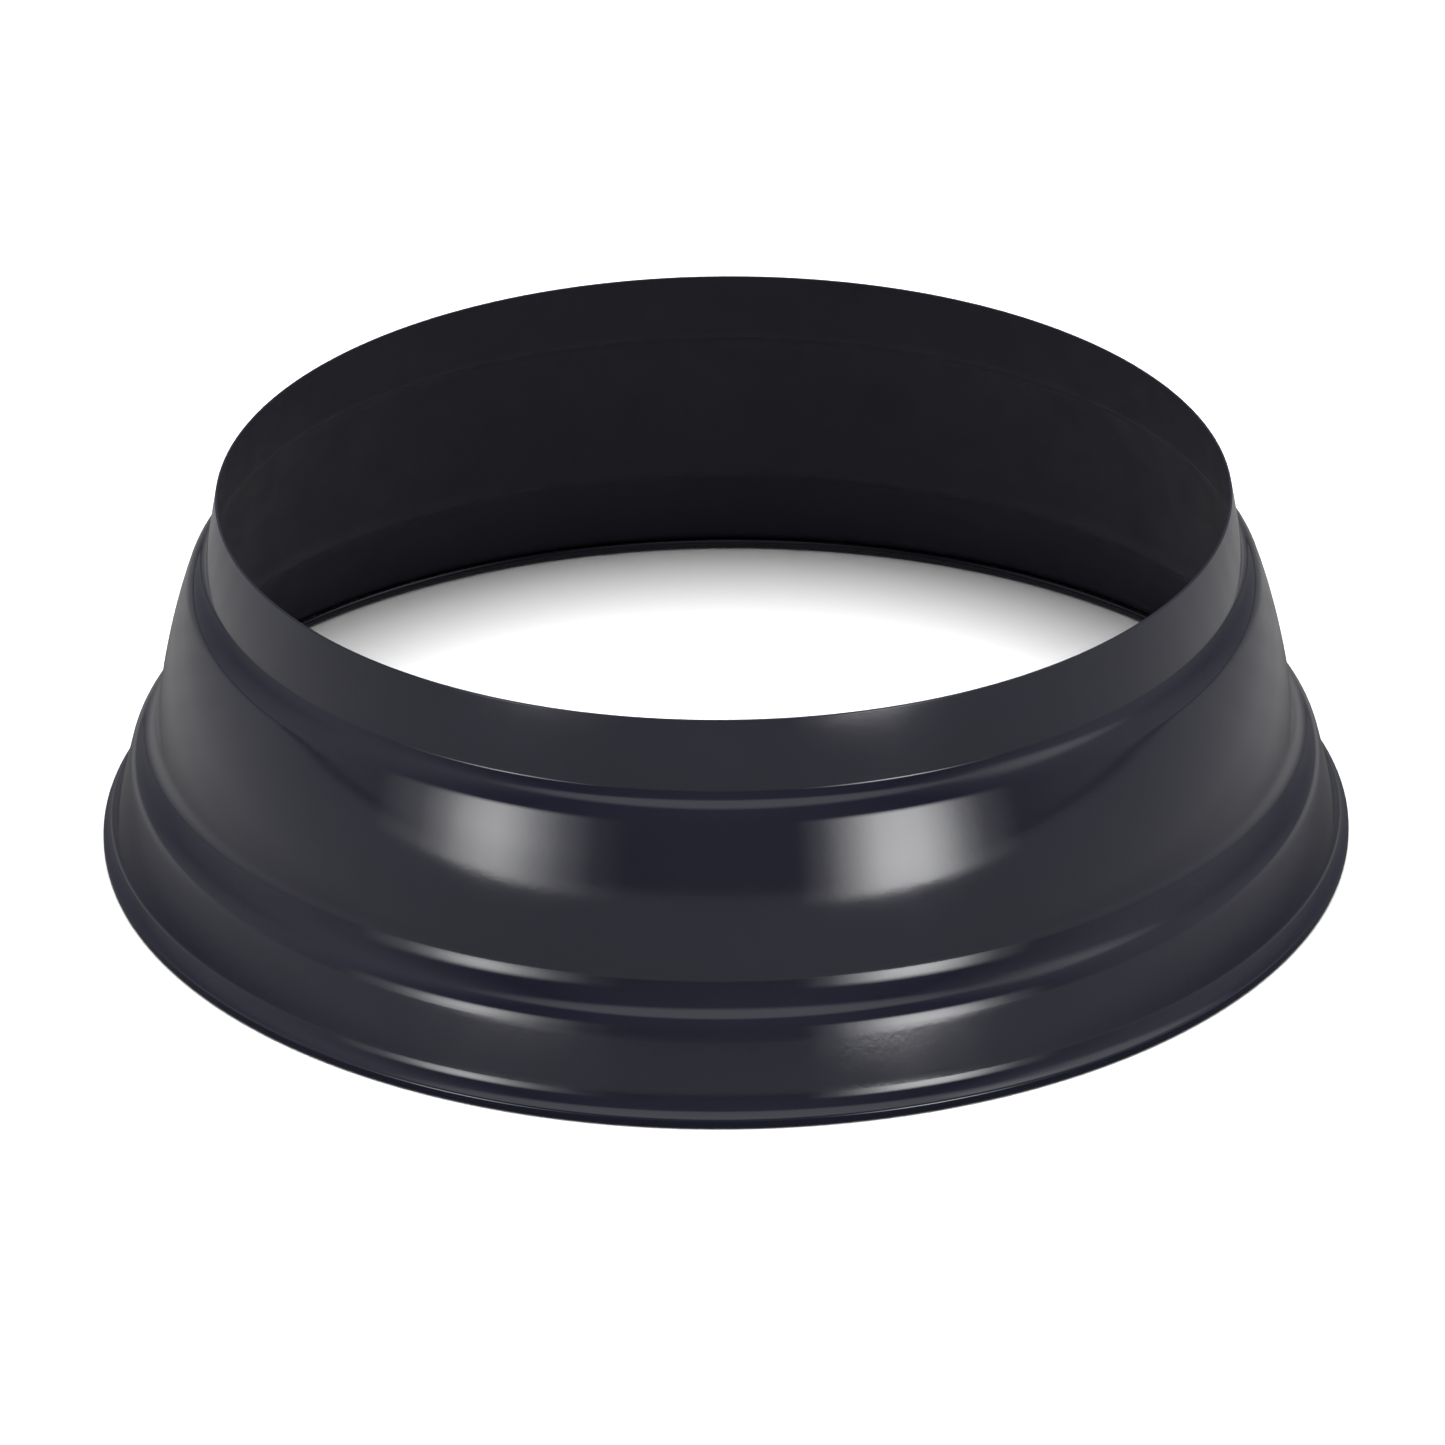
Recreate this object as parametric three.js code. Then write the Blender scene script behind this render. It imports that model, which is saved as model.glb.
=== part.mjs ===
// Stepped skirt ring of a kitchen waste disposer: an open, flared ring of thin painted steel.
// Three bands step out from the top rim down to the foot, where the sheet is curled under
// and round a steel wire. Millimetres, +Z up. The origin is on the ring's axis, at the floor.
import * as THREE from "three";

// Driving dimensions.
const footRadius = 109.3; // outermost radius, on the upright face of the hem
const ringHeight = 64.8;
const sheetThickness = 0.5;
const wireRadius = 0.55;
const wireInset = 1.2; // of the wire's centre from the hem's upright face
const wireHeight = 1.1; // of the wire's centre

// The sheet's outer face, from the hem's free edge up to the top rim. Each stretch is an arc: it
// starts at the slope that the stretch before it ends with, and turns evenly to its own. Slopes are
// degrees from the vertical: 90 leans in all the way, and -90 runs outward along the floor.
const freeEdgeSlope = -250;
const sheetStretches = [
  { length: 2.8, slope: -90 }, // hem, from its free edge round to the floor
  { length: 0.9, slope: -90 }, // the flat that the ring stands on
  { length: 0.94, slope: 0 }, // hem's lower corner
  { length: 0.8, slope: 0 }, // hem's upright face
  { length: 0.65, slope: 62 }, // hem's upper corner
  { length: 3.8, slope: 14.1 }, // foot flare
  { length: 10.0, slope: 14.4 }, // bottom band
  { length: 1.0, slope: 20 }, // lower step, where it starts to lean in
  { length: 2.8, slope: 53.5 }, // lower step, out to its ledge
  { length: 6.7, slope: 7.0 }, // lower step, back to upright
  { length: 15.9, slope: 14.4 }, // middle band, lower half
  { length: 9.6, slope: 19.3 }, // middle band, upper half
  { length: 3.8, slope: 53 }, // upper step, out to its ledge
  { length: 1.9, slope: 30 }, // upper step, back towards upright
  { length: 0.3, slope: 8.8 }, // crease under the top band
];
const topBandSlope = 10.5; // at the rim; the top band fills what is left of ringHeight

// Fineness of the faceted surface.
const sidesAround = 64;
const chordTolerance = 0.03; // how far the facets may stray from an arc
const wireSides = 8;

const paint = { color: 0x2d2e35, roughness: 0.3, metalness: 0.0 };
const bareSteel = { color: 0x8d8f92, roughness: 0.45, metalness: 1.0 };

const radians = THREE.MathUtils.degToRad;

// The outward normal of a face that slopes by so many degrees from the vertical.
function normalAt(slope) {
  return new THREE.Vector2(Math.cos(radians(slope)), Math.sin(radians(slope)));
}

// How far up an arc of length 1 climbs when it turns evenly between two slopes.
function climbPerLength(fromSlope, toSlope) {
  const turn = radians(toSlope) - radians(fromSlope);
  return (Math.sin(radians(toSlope)) - Math.sin(radians(fromSlope))) / turn;
}

// Stations up the sheet's outer face, { point, slope }, from the hem's free edge to the top rim.
function sheetStations() {
  const stations = [{ point: new THREE.Vector2(0, 0), slope: freeEdgeSlope }];
  for (const stretch of sheetStretches) addArc(stations, stretch.length, stretch.slope);
  const lowest = Math.min(...stations.map(({ point }) => point.y));
  const widest = Math.max(...stations.map(({ point }) => point.x));
  for (const { point } of stations) point.add(new THREE.Vector2(footRadius - widest, -lowest));
  const crease = stations.at(-1);
  const topBandHeight = ringHeight - crease.point.y;
  addArc(stations, topBandHeight / climbPerLength(crease.slope, topBandSlope), topBandSlope);
  return stations;
}

// Adds the stations of one arc that goes on from the last station.
function addArc(stations, length, endSlope) {
  const { point, slope } = stations.at(-1);
  const turn = endSlope - slope;
  const radius = turn === 0 ? Infinity : length / Math.abs(radians(turn));
  const turnPerStep = 2 * Math.acos(1 - chordTolerance / radius);
  const steps = turn === 0 ? 1 : Math.ceil(Math.abs(radians(turn)) / turnPerStep);
  for (let i = 1; i <= steps; i++) {
    const slopeHere = slope + (turn * i) / steps;
    const half = radians(slopeHere - slope) / 2;
    const shortening = half === 0 ? 1 : Math.sin(half) / half; // chord over arc
    const chord = ((length * i) / steps) * shortening;
    const direction = radians(slope) + half;
    const offset = new THREE.Vector2(-Math.sin(direction), Math.cos(direction));
    stations.push({ point: point.clone().addScaledVector(offset, chord), slope: slopeHere });
  }
}

// The sheet's closed section: up the outer face from the free edge to the rim, and back inside.
function sheetSection() {
  const stations = sheetStations();
  const rim = stations.at(-1);
  const outside = stations.map(({ point }) => point);
  const inside = stations.map(({ point, slope }) =>
    point.clone().addScaledVector(normalAt(slope), -sheetThickness),
  );
  const rimWidth = sheetThickness / Math.cos(radians(rim.slope)); // the rim is trimmed level
  inside[inside.length - 1] = new THREE.Vector2(rim.point.x - rimWidth, rim.point.y);
  return [...outside, ...inside.reverse()];
}

// The wire lies in the hem, a little clear of the sheet all round.
function wireSection() {
  const centre = new THREE.Vector2(footRadius - wireInset, wireHeight);
  const points = [];
  for (let i = 0; i < wireSides; i++) {
    points.push(centre.clone().addScaledVector(normalAt((360 * i) / wireSides), wireRadius));
  }
  return points;
}

// A ring node, turned about Z from a closed section.
function turnedRing(name, section, material) {
  const geometry = new THREE.LatheGeometry([...section, section[0].clone()], sidesAround);
  geometry.rotateX(Math.PI / 2); // the lathe turns about Y, and the ring stands on Z
  const mesh = new THREE.Mesh(geometry, new THREE.MeshStandardMaterial(material));
  mesh.name = name;
  return mesh;
}

const ring = new THREE.Group();
ring.add(turnedRing("stepped_shell", sheetSection(), paint));
ring.add(turnedRing("edge_wire", wireSection(), bareSteel));
export default ring;
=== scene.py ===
# Looks of the stepped skirt ring: a fine mesh of the painted sheet in place of its faceted CAD
# solid, a drawn-steel finish on the wire, and a plain pale studio round them. All in metres.
import math

import bmesh
import bpy
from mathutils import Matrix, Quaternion, Vector


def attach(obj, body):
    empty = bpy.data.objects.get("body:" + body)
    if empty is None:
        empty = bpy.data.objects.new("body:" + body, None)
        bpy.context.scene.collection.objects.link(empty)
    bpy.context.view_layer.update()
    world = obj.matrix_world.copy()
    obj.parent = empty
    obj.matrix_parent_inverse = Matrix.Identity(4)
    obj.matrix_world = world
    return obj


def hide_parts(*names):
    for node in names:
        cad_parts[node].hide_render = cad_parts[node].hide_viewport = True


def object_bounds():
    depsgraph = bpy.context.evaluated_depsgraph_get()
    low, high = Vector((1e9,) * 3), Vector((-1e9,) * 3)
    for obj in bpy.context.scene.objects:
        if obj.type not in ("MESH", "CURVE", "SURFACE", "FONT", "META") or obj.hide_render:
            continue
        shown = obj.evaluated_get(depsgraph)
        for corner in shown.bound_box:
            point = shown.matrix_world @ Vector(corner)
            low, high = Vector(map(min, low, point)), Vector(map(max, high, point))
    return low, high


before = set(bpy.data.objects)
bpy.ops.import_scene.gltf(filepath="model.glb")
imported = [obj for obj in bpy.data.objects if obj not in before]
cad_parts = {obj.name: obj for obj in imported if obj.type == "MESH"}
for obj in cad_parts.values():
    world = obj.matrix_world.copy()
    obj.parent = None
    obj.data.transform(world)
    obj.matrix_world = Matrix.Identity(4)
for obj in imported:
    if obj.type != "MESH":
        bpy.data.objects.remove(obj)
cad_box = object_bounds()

MM = 0.001

# The sheet, with the driving dimensions of the CAD part.
FOOT_RADIUS = 109.3 * MM
RING_HEIGHT = cad_box[1].z
SHEET_THICKNESS = 0.5 * MM
FREE_EDGE_SLOPE = -250
SHEET_STRETCHES = (  # (length, slope at its end), up the outer face from the hem's free edge
    (2.8 * MM, -90),  # hem, from its free edge round to the floor
    (0.9 * MM, -90),  # the flat that the ring stands on
    (0.94 * MM, 0),  # hem's lower corner
    (0.8 * MM, 0),  # hem's upright face
    (0.65 * MM, 62),  # hem's upper corner
    (3.8 * MM, 14.1),  # foot flare
    (10.0 * MM, 14.4),  # bottom band
    (1.0 * MM, 20),  # lower step, where it starts to lean in
    (2.8 * MM, 53.5),  # lower step, out to its ledge
    (6.7 * MM, 7.0),  # lower step, back to upright
    (15.9 * MM, 14.4),  # middle band, lower half
    (9.6 * MM, 19.3),  # middle band, upper half
    (3.8 * MM, 53),  # upper step, out to its ledge
    (1.9 * MM, 30),  # upper step, back towards upright
    (0.3 * MM, 8.8),  # crease under the top band
)
TOP_BAND_SLOPE = 10.5
EDGE_ROUNDING = 0.12 * MM  # of the trimmed edges, where the paint rounds them off

# Paints, as linear colours.
OUTSIDE_DARK = (0.0061, 0.0067, 0.0132)
OUTSIDE_LIGHT = (0.0077, 0.0083, 0.0157)
INSIDE_DARK = (0.0082, 0.0076, 0.0121)
INSIDE_LIGHT = (0.0099, 0.0092, 0.0142)
WIRE_DARK = (0.22, 0.22, 0.23)
WIRE_LIGHT = (0.38, 0.38, 0.39)
OUTSIDE_ROUGHNESS = (0.08, 0.10)
INSIDE_ROUGHNESS = (0.50, 0.60)
WIRE_ROUGHNESS = (0.35, 0.5)
OUTSIDE_IOR = 1.31
INSIDE_IOR = 1.15

# Textures: spots or waves per metre, and how high the relief stands.
NOISE_RANGE = (0.3, 0.7)  # the middle of a noise's values, spread over the whole range
MOTTLE_SCALE = 38.0
GLOSS_SCALE = 120.0
RIPPLE_SCALE = 22.0
RIPPLE_HEIGHT = 0.02 * MM
PEEL_SCALE = 900.0
PEEL_HEIGHT = 0.004 * MM
DRAWN_SCALE = 1500.0
DRAWN_HEIGHT = 0.01 * MM

# Fineness of the mesh.
SIDES_AROUND = 256
DEGREES_PER_STEP = 4.0
LONGEST_STEP = 1.2 * MM
CORNER_STEPS = 4

# Camera.
CAMERA_ELEVATION = 26.95
CAMERA_DISTANCE = 1.533
CAMERA_LENS = 219.2
CAMERA_TARGET_HEIGHT = 32.8 * MM
CAMERA_AIM_BELOW = 0.4575  # degrees: the ring stands a little above the picture's middle
CAMERA_AIM_LEFT = 0.018
CAMERA_ROLL = -0.42


def normal_at(slope):
    """Outward normal, as (radius, height), of a wall that slopes by so many degrees."""
    angle = math.radians(slope)
    return Vector((math.cos(angle), math.sin(angle)))


def add_arc(stations, length, end_slope):
    """Adds the stations of one arc, which turns evenly, after the last station."""
    start, slope = stations[-1]
    turn = end_slope - slope
    steps = math.ceil(max(abs(turn) / DEGREES_PER_STEP, length / LONGEST_STEP))
    for i in range(1, steps + 1):
        slope_here = slope + turn * i / steps
        half = math.radians(slope_here - slope) / 2
        shortening = math.sin(half) / half if half else 1.0  # chord over arc
        chord = length * i / steps * shortening
        direction = math.radians(slope) + half
        step = Vector((-math.sin(direction), math.cos(direction))) * chord
        stations.append((start + step, slope_here))


def sheet_stations():
    """(point, slope) up the outer face of the sheet, from the hem's free edge to the top rim."""
    stations = [(Vector((0, 0)), FREE_EDGE_SLOPE)]
    for length, slope in SHEET_STRETCHES:
        add_arc(stations, length, slope)
    lowest = min(point.y for point, slope in stations)
    widest = max(point.x for point, slope in stations)
    shift = Vector((FOOT_RADIUS - widest, -lowest))
    stations = [(point + shift, slope) for point, slope in stations]
    crease, slope = stations[-1]
    turn = math.radians(TOP_BAND_SLOPE - slope)
    climb = math.sin(math.radians(TOP_BAND_SLOPE)) - math.sin(math.radians(slope))
    add_arc(stations, (RING_HEIGHT - crease.y) * turn / climb, TOP_BAND_SLOPE)
    return stations


def rounded_corner(before, corner, after):
    """A corner of the outline as a short arc, with a point just outside each of its ends."""
    back = (before - corner).normalized()
    ahead = (after - corner).normalized()
    half = back.angle(ahead) / 2
    reach = EDGE_ROUNDING / math.tan(half)
    start = corner + back * reach
    end = corner + ahead * reach
    centre = corner + (back + ahead).normalized() * (EDGE_ROUNDING / math.sin(half))
    points = [start + back * EDGE_ROUNDING / 4]
    for i in range(CORNER_STEPS + 1):
        ray = start.lerp(end, i / CORNER_STEPS) - centre
        points.append(centre + ray.normalized() * EDGE_ROUNDING)
    points.append(end + ahead * EDGE_ROUNDING / 4)
    return points


def sheet_section():
    """The closed outline of the sheet's section, and the number of points on its outer face."""
    stations = sheet_stations()
    outside = [point for point, slope in stations]
    inside = [point - normal_at(slope) * SHEET_THICKNESS for point, slope in stations]
    rim_width = SHEET_THICKNESS / math.cos(math.radians(TOP_BAND_SLOPE))
    inside[-1] = outside[-1] - Vector((rim_width, 0))
    inside.reverse()
    rim_outer = rounded_corner(outside[-2], outside[-1], inside[0])
    rim_inner = rounded_corner(outside[-1], inside[0], inside[1])
    free_inner = rounded_corner(inside[-2], inside[-1], outside[0])
    free_outer = rounded_corner(inside[-1], outside[0], outside[1])
    half_corner = len(free_outer) // 2
    outer_face = free_outer[half_corner:] + outside[1:-1] + rim_outer
    inner_face = rim_inner + inside[1:-1] + free_inner + free_outer[:half_corner]
    return outer_face + inner_face, len(outer_face)


def turned_mesh(name, section, material_of):
    """A mesh turned about Z from a closed section. material_of gives each strip's material."""
    mesh = bpy.data.meshes.new(name)
    shape = bmesh.new()
    rings = []
    for point in section:
        ring = []
        for i in range(SIDES_AROUND):
            angle = 2 * math.pi * i / SIDES_AROUND
            place = (point.x * math.cos(angle), point.x * math.sin(angle), point.y)
            ring.append(shape.verts.new(place))
        rings.append(ring)
    for k, ring in enumerate(rings):
        above = rings[(k + 1) % len(rings)]
        for i in range(SIDES_AROUND):
            j = (i + 1) % SIDES_AROUND
            face = shape.faces.new((ring[i], ring[j], above[j], above[i]))
            face.smooth = True
            face.material_index = material_of(k)
    shape.to_mesh(mesh)
    shape.free()
    piece = bpy.data.objects.new(name, mesh)
    bpy.context.scene.collection.objects.link(piece)
    return piece


class Nodes:
    """Short forms for building a material's or the world's node tree."""

    def __init__(self, owner):
        owner.use_nodes = True
        self.tree = owner.node_tree
        self.tree.nodes.clear()

    def add(self, kind, **settings):
        node = self.tree.nodes.new(kind)
        for key, value in settings.items():
            setattr(node, key, value)
        return node

    def link(self, output, socket):
        self.tree.links.new(output, socket)

    def noise(self, vector, scale, detail):
        node = self.add("ShaderNodeTexNoise")
        node.inputs["Scale"].default_value = scale
        node.inputs["Detail"].default_value = detail
        self.link(vector, node.inputs["Vector"])
        return node.outputs["Fac"]

    def ramp(self, value, stops):
        """A colour ramp through (position, colour) stops."""
        node = self.add("ShaderNodeValToRGB")
        elements = node.color_ramp.elements
        while len(elements) < len(stops):
            elements.new(0.5)
        for element, (position, colour) in zip(elements, stops):
            element.position = position
            element.color = (*colour, 1.0)
        self.link(value, node.inputs["Fac"])
        return node.outputs["Color"]

    def levels(self, value, stops):
        """A grey ramp through (position, level) stops."""
        return self.ramp(value, [(position, (level,) * 3) for position, level in stops])

    def map_range(self, value, from_range, to_range, smooth=False):
        node = self.add("ShaderNodeMapRange")
        if smooth:
            node.interpolation_type = "SMOOTHSTEP"
        for socket, number in zip(node.inputs[1:5], (*from_range, *to_range)):
            socket.default_value = number
        self.link(value, node.inputs["Value"])
        return node.outputs["Result"]

    def math(self, operation, first, second):
        node = self.add("ShaderNodeMath", operation=operation)
        for socket, value in zip(node.inputs, (first, second)):
            if isinstance(value, (int, float)):
                socket.default_value = value
            else:
                self.link(value, socket)
        return node.outputs["Value"]

    def bump(self, height, distance, normal=None):
        node = self.add("ShaderNodeBump")
        node.inputs["Distance"].default_value = distance
        node.inputs["Strength"].default_value = 1.0
        self.link(height, node.inputs["Height"])
        if normal is not None:
            self.link(normal, node.inputs["Normal"])
        return node.outputs["Normal"]


def paint_material(name, dark, light, roughness, ior):
    """Sprayed paint: a faint mottle in its tone, a little orange peel, and slow ripples."""
    material = bpy.data.materials.new(name)
    nodes = Nodes(material)
    place = nodes.add("ShaderNodeTexCoord").outputs["Object"]
    shader = nodes.add("ShaderNodeBsdfPrincipled")
    shader.inputs["IOR"].default_value = ior
    mottle = nodes.noise(place, MOTTLE_SCALE, 3.0)
    tone = nodes.ramp(mottle, tuple(zip(NOISE_RANGE, (dark, light))))
    nodes.link(tone, shader.inputs["Base Color"])
    gloss = nodes.noise(place, GLOSS_SCALE, 4.0)
    nodes.link(nodes.map_range(gloss, NOISE_RANGE, roughness), shader.inputs["Roughness"])
    ripple = nodes.bump(nodes.noise(place, RIPPLE_SCALE, 1.0), RIPPLE_HEIGHT)
    peel = nodes.bump(nodes.noise(place, PEEL_SCALE, 2.0), PEEL_HEIGHT, ripple)
    nodes.link(peel, shader.inputs["Normal"])
    output = nodes.add("ShaderNodeOutputMaterial")
    nodes.link(shader.outputs["BSDF"], output.inputs["Surface"])
    return material


def wire_material():
    """Drawn steel wire: grey metal with a fine grain."""
    material = bpy.data.materials.new("drawn_steel")
    nodes = Nodes(material)
    place = nodes.add("ShaderNodeTexCoord").outputs["Object"]
    shader = nodes.add("ShaderNodeBsdfPrincipled")
    shader.inputs["Metallic"].default_value = 1.0
    grain = nodes.noise(place, DRAWN_SCALE, 2.0)
    tone = nodes.ramp(grain, tuple(zip(NOISE_RANGE, (WIRE_DARK, WIRE_LIGHT))))
    nodes.link(tone, shader.inputs["Base Color"])
    nodes.link(nodes.map_range(grain, NOISE_RANGE, WIRE_ROUGHNESS), shader.inputs["Roughness"])
    nodes.link(nodes.bump(grain, DRAWN_HEIGHT), shader.inputs["Normal"])
    output = nodes.add("ShaderNodeOutputMaterial")
    nodes.link(shader.outputs["BSDF"], output.inputs["Surface"])
    return material


def make_shell():
    """The painted sheet, finely turned, with glossy paint outside and thin matt paint inside."""
    section, outer_count = sheet_section()
    outside = paint_material(
        "anthracite_paint", OUTSIDE_DARK, OUTSIDE_LIGHT, OUTSIDE_ROUGHNESS, OUTSIDE_IOR
    )
    inside = paint_material(
        "anthracite_paint_inside", INSIDE_DARK, INSIDE_LIGHT, INSIDE_ROUGHNESS, INSIDE_IOR
    )
    piece = turned_mesh("painted_shell", section, lambda k: 0 if k < outer_count else 1)
    piece.data.materials.append(outside)
    piece.data.materials.append(inside)
    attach(piece, "root")
    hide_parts("stepped_shell")


def finish_wire():
    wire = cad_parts["edge_wire"]
    wire.data.materials.clear()
    wire.data.materials.append(wire_material())


# Studio. Azimuths are degrees from the camera's side, positive to the right.
CARD_DISTANCE = 0.62
CARD_HEIGHT = 0.25
CARD_STEPS = 48
CARD_RADIANCE = 24.0
RIGHT_GLOW = (  # (azimuth, brightness)
    (13, 0.0), (18, 0.10), (23, 0.44), (28, 0.90), (32, 1.0),
    (36, 0.93), (40, 0.63), (44, 0.27), (48, 0.08), (55, 0.0),
)
RIGHT_UPWARD = ((0.0, 0.9), (0.2, 1.0), (0.65, 0.9), (1.0, 0.0))  # (part of the height, brightness)
LEFT_GLOW = (
    (-68, 0.0), (-58, 0.09), (-53, 0.27), (-49, 0.56), (-45, 0.74), (-42, 0.78),
    (-39, 0.64), (-35, 0.38), (-30, 0.15), (-24, 0.03), (-18, 0.0),
)
LEFT_UPWARD = ((0.0, 0.7), (0.3, 1.0), (0.65, 0.9), (1.0, 0.0))
HIGH_RADIANCE = 2.0  # of a card high up on the right
HIGH_EDGES = ((0.75, 0.62), (0.35, 0.9))  # (radius, height) of its outer and inner edge
HIGH_GLOW = ((60, 0.0), (75, 0.6), (90, 1.0), (110, 1.0), (130, 0.4), (150, 0.0))
HIGH_UPWARD = ((0.0, 0.0), (0.3, 1.0), (1.0, 1.0))
PAINTED_FLOOR_REFLECTION = (  # painted reflection of the floor: how bright the floor looks in the gloss, by azimuth, dimmer behind the ring
    (-180, 0.2), (-155, 0.2), (-130, 0.4), (-100, 0.95), (-70, 1.1), (70, 1.1),
    (100, 0.95), (130, 0.4), (155, 0.2), (180, 0.2),
)
NEAR_PAINTED_REFLECTION_EDGES = ((0.1088, 0.0001), (0.5, 0.0001))  # (radius, height) of the inner and outer edge of the near card that paints the floor's reflection
# painted shade: the painted floor reflection is darkened close to the foot, standing in for the
# floor's contact shadow
NEAR_PAINTED_REFLECTION_SHADE = ((0.0, 0.12), (0.03, 0.2), (0.1, 0.7), (0.2, 1.0), (1.0, 1.0))
# a far card that paints the floor's reflection, dimmer towards its far edge
FAR_PAINTED_REFLECTION_EDGES = ((0.5, 0.0001), (8.0, 0.0001))
FAR_PAINTED_REFLECTION_OUTWARD = ((0.0, 1.0), (0.085, 1.0), (0.16, 0.35), (1.0, 0.35))
WALL_LEVELS = (  # brightness of the walls all round, by azimuth
    (-180, 0.38), (-130, 0.38), (-105, 0.9), (-90, 1.0), (-75, 0.85), (-58, 0.4), (-45, 0.15),
    (-25, 0.35), (0, 0.45), (25, 0.35), (45, 0.15), (58, 0.5), (75, 0.85), (90, 1.0),
    (105, 0.9), (130, 0.38), (180, 0.38),
)
CEILING_EDGE = (58, 68)  # elevations between which the walls turn into the ceiling
CEILING_LEVEL = 2.6
FLOOR_REACH = 8.0
FLOOR_COLOUR = (0.86, 0.86, 0.86)
OVERHEAD_SIZE = 1.2
OVERHEAD_HEIGHT = 1.6
OVERHEAD_POWER = 34.0


def plain_material(name, colour, roughness):
    material = bpy.data.materials.new(name)
    nodes = Nodes(material)
    shader = nodes.add("ShaderNodeBsdfPrincipled")
    shader.inputs["Base Color"].default_value = (*colour, 1.0)
    shader.inputs["Roughness"].default_value = roughness
    shader.inputs["Specular IOR Level"].default_value = 0.0
    output = nodes.add("ShaderNodeOutputMaterial")
    nodes.link(shader.outputs["BSDF"], output.inputs["Surface"])
    return material


def glow_material(name, radiance, across, upward, see_through):
    """A card's face, whose glow is set by (place, brightness) stops across it and outward."""
    material = bpy.data.materials.new(name)
    nodes = Nodes(material)
    place = nodes.add("ShaderNodeTexCoord").outputs["UV"]
    axes = nodes.add("ShaderNodeSeparateXYZ")
    nodes.link(place, axes.inputs["Vector"])
    glow = nodes.math(
        "MULTIPLY", nodes.levels(axes.outputs["X"], across), nodes.levels(axes.outputs["Y"], upward)
    )
    shader = nodes.add("ShaderNodeEmission")
    nodes.link(nodes.math("MULTIPLY", glow, radiance), shader.inputs["Strength"])
    surface = shader.outputs["Emission"]
    if see_through:
        both = nodes.add("ShaderNodeAddShader")
        nodes.link(surface, both.inputs[0])
        nodes.link(nodes.add("ShaderNodeBsdfTransparent").outputs["BSDF"], both.inputs[1])
        surface = both.outputs["Shader"]
    output = nodes.add("ShaderNodeOutputMaterial")
    nodes.link(surface, output.inputs["Surface"])
    return material


def reflected_card(name, radiance, near, far, glow, upward, see_through=False):
    """A glowing card in an arc round the ring, between two edges (radius, height).

    Only gloss shows it. glow is its (azimuth, level) stops, and upward those from near to far.
    A see-through card adds its glow to what is behind it.
    """
    first, last = glow[0][0], glow[-1][0]
    mesh = bpy.data.meshes.new(name)
    shape = bmesh.new()
    uv = shape.loops.layers.uv.new("face")
    columns = []
    for i in range(CARD_STEPS + 1):
        angle = math.radians(first + (last - first) * i / CARD_STEPS)
        column = []
        for radius, height in (near, far):
            place = (radius * math.sin(angle), -radius * math.cos(angle), height)
            column.append(shape.verts.new(place))
        columns.append(column)
    for i in range(CARD_STEPS):
        low, high = columns[i]
        next_low, next_high = columns[i + 1]
        face = shape.faces.new((low, high, next_high, next_low))
        for loop, (u, v) in zip(face.loops, ((i, 0), (i, 1), (i + 1, 1), (i + 1, 0))):
            loop[uv].uv = (u / CARD_STEPS, v)
    shape.to_mesh(mesh)
    shape.free()
    across = [((azimuth - first) / (last - first), level) for azimuth, level in glow]
    mesh.materials.append(glow_material(name + "_glow", radiance, across, upward, see_through))
    card = bpy.data.objects.new(name, mesh)
    bpy.context.scene.collection.objects.link(card)
    card.visible_camera = False
    card.visible_diffuse = False
    card.visible_shadow = False


def make_floor():
    mesh = bpy.data.meshes.new("floor")
    reach = FLOOR_REACH
    corners = ((-reach, -reach, 0), (reach, -reach, 0), (reach, reach, 0), (-reach, reach, 0))
    mesh.from_pydata(corners, [], [(0, 1, 2, 3)])
    mesh.materials.append(plain_material("pale_floor", FLOOR_COLOUR, 0.9))
    floor = bpy.data.objects.new("floor", mesh)
    bpy.context.scene.collection.objects.link(floor)


def make_world():
    """White surroundings, dim on the camera's side up to a bright ceiling."""
    world = bpy.data.worlds.new("studio")
    bpy.context.scene.world = world
    nodes = Nodes(world)
    direction = nodes.add("ShaderNodeSeparateXYZ")
    nodes.link(nodes.add("ShaderNodeTexCoord").outputs["Generated"], direction.inputs["Vector"])
    toward_camera = nodes.math("MULTIPLY", direction.outputs["Y"], -1.0)
    azimuth = nodes.math("ARCTAN2", direction.outputs["X"], toward_camera)
    turns = nodes.map_range(azimuth, (-math.pi, math.pi), (0.0, 1.0))
    walls = nodes.levels(turns, [(0.5 + degrees / 360, level) for degrees, level in WALL_LEVELS])
    up = direction.outputs["Z"]
    ceiling_edge = [math.sin(math.radians(degrees)) for degrees in CEILING_EDGE]
    ceiling = nodes.map_range(up, ceiling_edge, (0.0, 1.0), smooth=True)
    rest = nodes.math("MULTIPLY", nodes.math("SUBTRACT", 1.0, ceiling), walls)
    level = nodes.math("ADD", rest, nodes.math("MULTIPLY", ceiling, CEILING_LEVEL))
    background = nodes.add("ShaderNodeBackground")
    nodes.link(level, background.inputs["Color"])
    output = nodes.add("ShaderNodeOutputWorld")
    nodes.link(background.outputs["Background"], output.inputs["Surface"])


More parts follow.
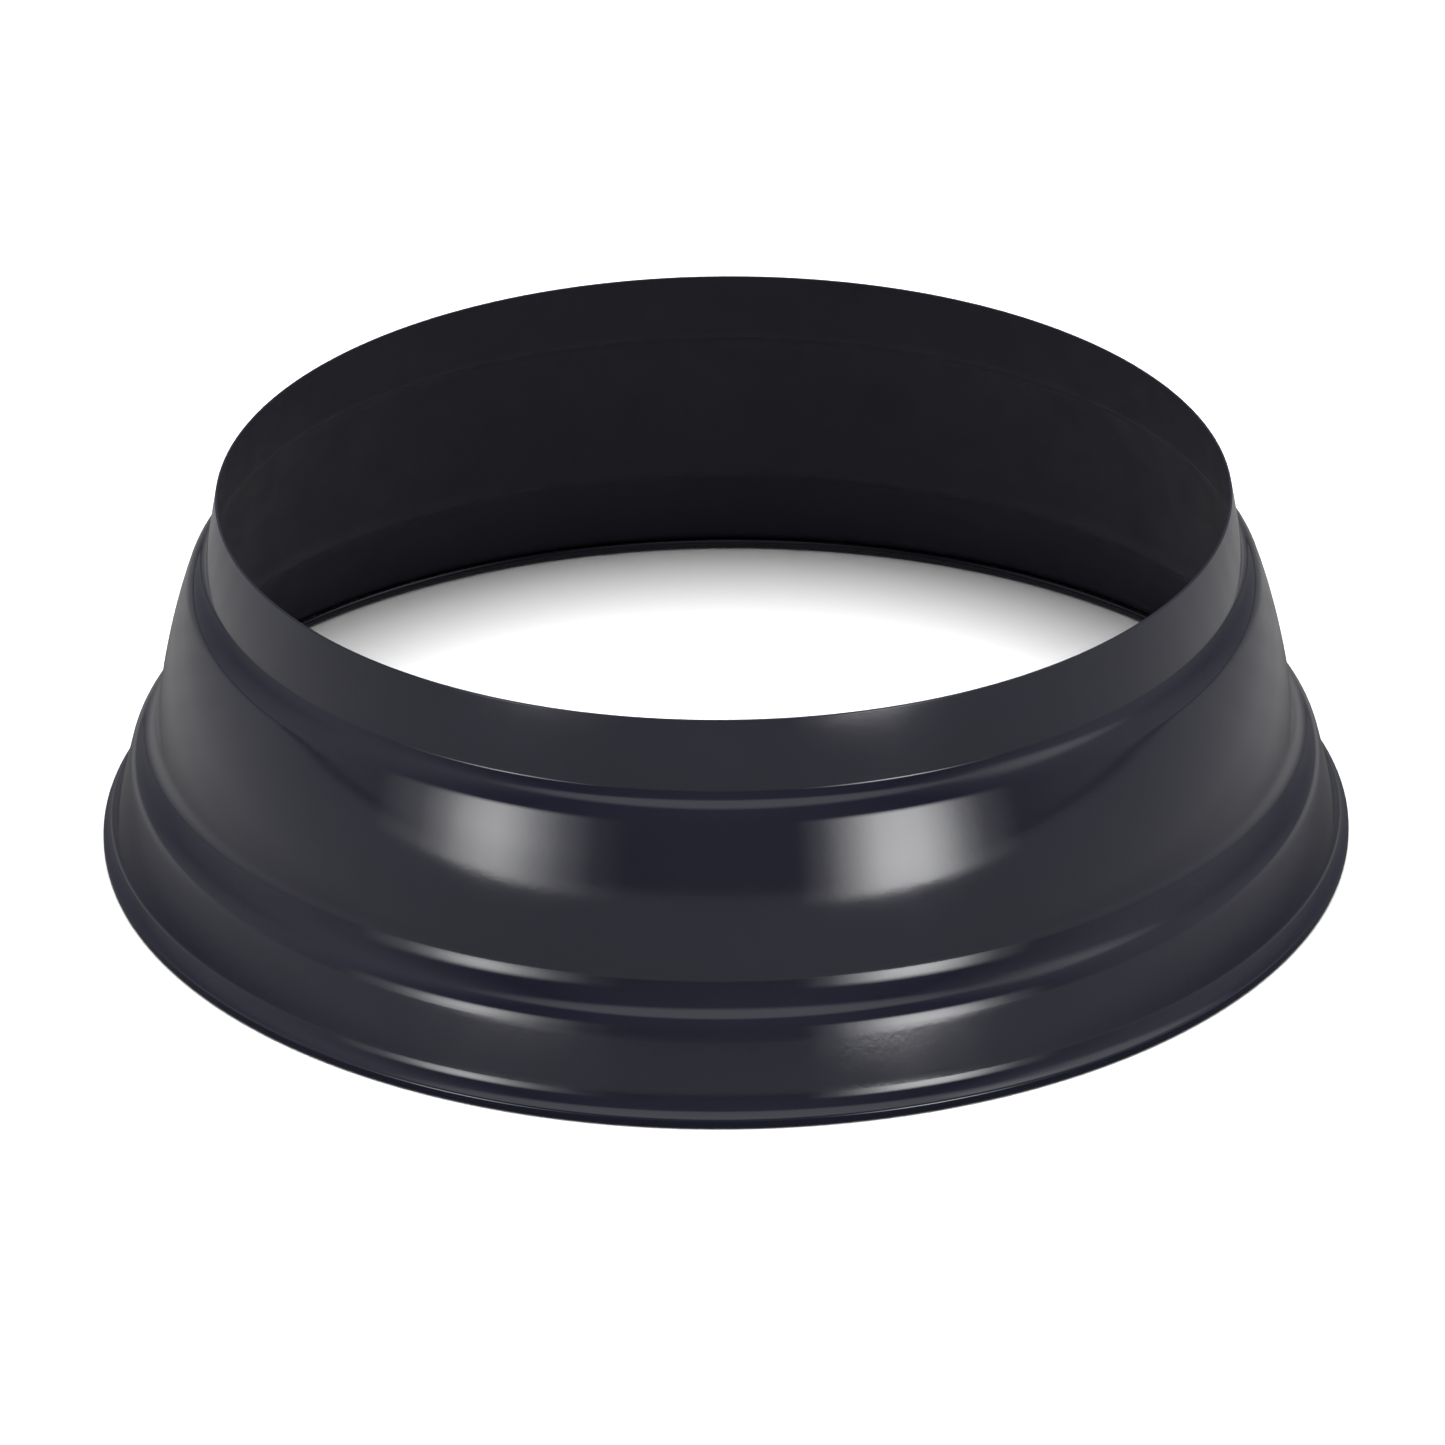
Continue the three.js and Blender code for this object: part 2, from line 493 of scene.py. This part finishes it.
def make_lights():
    """Overhead light that the gloss doesn't show, and the cards that only the gloss shows."""
    light = bpy.data.lights.new("overhead_softbox", "AREA")
    light.shape = "RECTANGLE"
    light.size = OVERHEAD_SIZE
    light.size_y = OVERHEAD_SIZE
    light.energy = OVERHEAD_POWER
    overhead = bpy.data.objects.new("overhead_softbox", light)
    overhead.location = (0, 0, OVERHEAD_HEIGHT)
    overhead.visible_camera = False
    overhead.visible_glossy = False
    bpy.context.scene.collection.objects.link(overhead)
    edges = ((CARD_DISTANCE, 0.0), (CARD_DISTANCE, CARD_HEIGHT))
    reflected_card("right_softbox", CARD_RADIANCE, *edges, RIGHT_GLOW, RIGHT_UPWARD, True)
    reflected_card("left_softbox", CARD_RADIANCE, *edges, LEFT_GLOW, LEFT_UPWARD, True)
    reflected_card("high_softbox", HIGH_RADIANCE, *HIGH_EDGES, HIGH_GLOW, HIGH_UPWARD, True)
    # The two floor cards are a painted reflection of the floor: glow that only the gloss shows,
    # dimmer behind the ring and darkened at the foot as painted shade.
    reflected_card("near_floor_painted_reflection", 1.0, *NEAR_PAINTED_REFLECTION_EDGES, PAINTED_FLOOR_REFLECTION, NEAR_PAINTED_REFLECTION_SHADE)
    reflected_card("far_floor_painted_reflection", 1.0, *FAR_PAINTED_REFLECTION_EDGES, PAINTED_FLOOR_REFLECTION, FAR_PAINTED_REFLECTION_OUTWARD)


def make_camera():
    elevation = math.radians(CAMERA_ELEVATION)
    back = Vector((0, -math.cos(elevation), math.sin(elevation)))
    tilt = math.radians(CAMERA_ELEVATION + CAMERA_AIM_BELOW)
    turn = math.radians(CAMERA_AIM_LEFT)
    looking = Vector((-math.sin(turn), math.cos(tilt), -math.sin(tilt)))
    roll = Quaternion((0, 0, 1), math.radians(CAMERA_ROLL))
    data = bpy.data.cameras.new("camera")
    data.lens = CAMERA_LENS
    camera = bpy.data.objects.new("camera", data)
    camera.location = Vector((0, 0, CAMERA_TARGET_HEIGHT)) + back * CAMERA_DISTANCE
    camera.rotation_mode = "QUATERNION"
    camera.rotation_quaternion = looking.to_track_quat("-Z", "Y") @ roll
    bpy.context.scene.collection.objects.link(camera)
    bpy.context.scene.camera = camera


def use_plain_colours():
    settings = bpy.context.scene.view_settings
    settings.view_transform = "Standard"
    settings.look = "None"


make_camera()
use_plain_colours()
make_world()
make_lights()
make_floor()
make_shell()
finish_wire()
